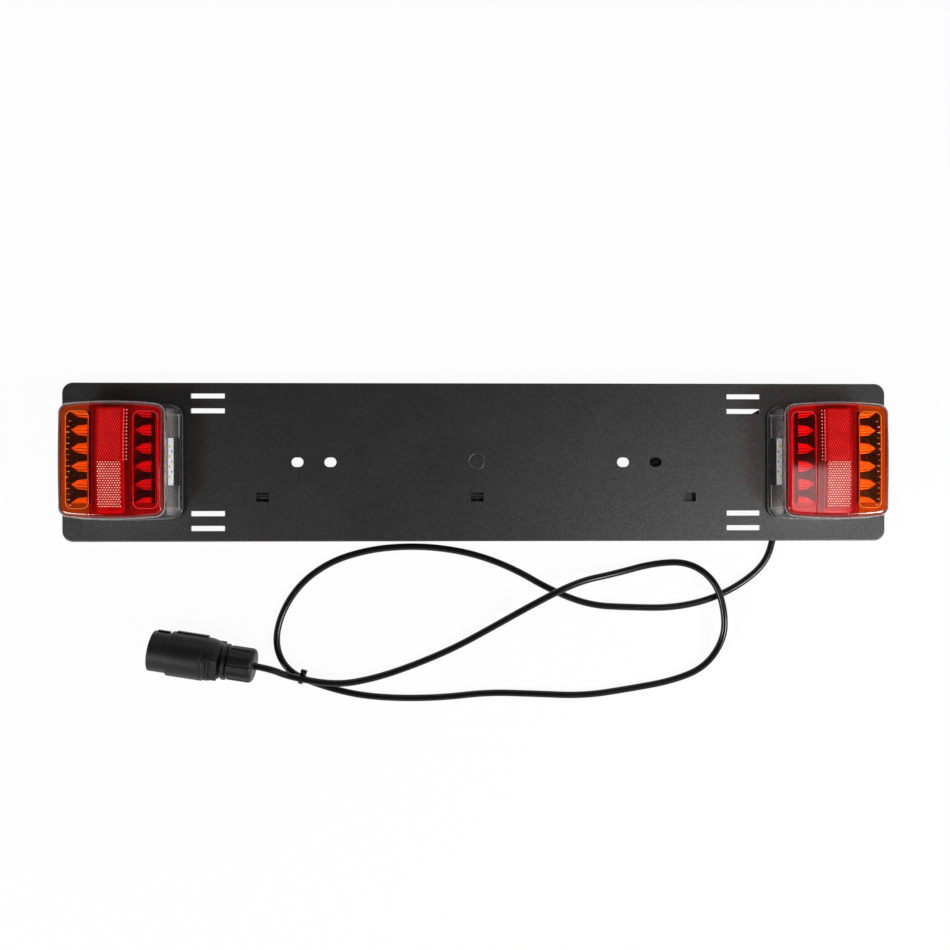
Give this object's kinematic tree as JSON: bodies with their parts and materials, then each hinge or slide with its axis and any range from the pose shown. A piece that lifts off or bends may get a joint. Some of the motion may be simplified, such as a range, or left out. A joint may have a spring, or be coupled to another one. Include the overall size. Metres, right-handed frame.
{
  "type": "trailer lighting board",
  "caption": "Long flat black board with an LED rear lamp at each end, strap slots and fixing holes, and a looped cable that ends in a round trailer plug.",
  "frame": {"origin": "on the surface the board lies on, under the middle of the panel", "axes": "+X along the board towards the end where the cable leaves, +Y across it away from the cable, +Z out of the front, towards the lamps"},
  "size_m": [0.78, 0.3036, 0.0576],
  "materials": {
    "board": "fine stippled moulding, dull black",
    "lamp_black": "satin black moulding",
    "gasket_rubber": "dull black foam rubber",
    "boot_rubber": "dull black",
    "clear_plastic": "clear, glossy",
    "red_lens": "clear red, glossy",
    "amber_lens": "clear amber, glossy",
    "reflex_red": "red prisms behind a glossy face",
    "metallised": "plastic with a bright metal coating",
    "circuit_board": "black solder mask",
    "amber_led": "clear epoxy",
    "red_led": "clear epoxy",
    "white_strip": "white solder mask",
    "white_led": "clear over a yellow chip",
    "zinc_steel": "zinc plated",
    "lead_sheath": "satin black sheath",
    "splice_sleeve": "shrunk black sleeve",
    "cable_sheath": "glossy black sheath",
    "tie_nylon": "satin black nylon",
    "plug_black": "satin black moulding",
    "plug_insert": "dull dark grey moulding",
    "contact_brass": "machined"
  },
  "bodies": {
    "root": {"board_panel": "board", "cable_tie": "tie_nylon", "lead_splice_sleeve": "splice_sleeve", "left_blanking_grommet": "boot_rubber", "left_lamp_amber_leds": "amber_led", "left_lamp_amber_lens": "amber_lens", "left_lamp_base": "lamp_black", "left_lamp_bolts": "zinc_steel", "left_lamp_circuit_board": "circuit_board", "left_lamp_clear_cover": "clear_plastic", "left_lamp_gasket": "gasket_rubber", "left_lamp_nuts": "zinc_steel", "left_lamp_red_leds": "red_led", "left_lamp_red_lens": "red_lens", "left_lamp_reflector": "metallised", "left_lamp_reflex_reflector": "reflex_red", "left_lamp_washers": "zinc_steel", "left_lead": "lead_sheath", "left_lead_boot": "boot_rubber", "left_plate_light_leds": "white_led", "left_plate_light_strip": "white_strip", "main_cable": "cable_sheath", "plug_cable_seal": "boot_rubber", "plug_contact_insert": "plug_insert", "plug_contact_pins": "contact_brass", "plug_front_housing": "plug_black", "plug_gland_nut": "plug_black", "plug_rear_cover": "plug_black", "right_lamp_amber_leds": "amber_led", "right_lamp_amber_lens": "amber_lens", "right_lamp_base": "lamp_black", "right_lamp_bolts": "zinc_steel", "right_lamp_circuit_board": "circuit_board", "right_lamp_clear_cover": "clear_plastic", "right_lamp_gasket": "gasket_rubber", "right_lamp_nuts": "zinc_steel", "right_lamp_red_leds": "red_led", "right_lamp_red_lens": "red_lens", "right_lamp_reflector": "metallised", "right_lamp_reflex_reflector": "reflex_red", "right_lamp_washers": "zinc_steel", "right_lead": "lead_sheath", "right_lead_boot": "boot_rubber", "right_main_cable_boot": "boot_rubber", "right_plate_light_leds": "white_led", "right_plate_light_strip": "white_strip"}
  },
  "joints": []
}
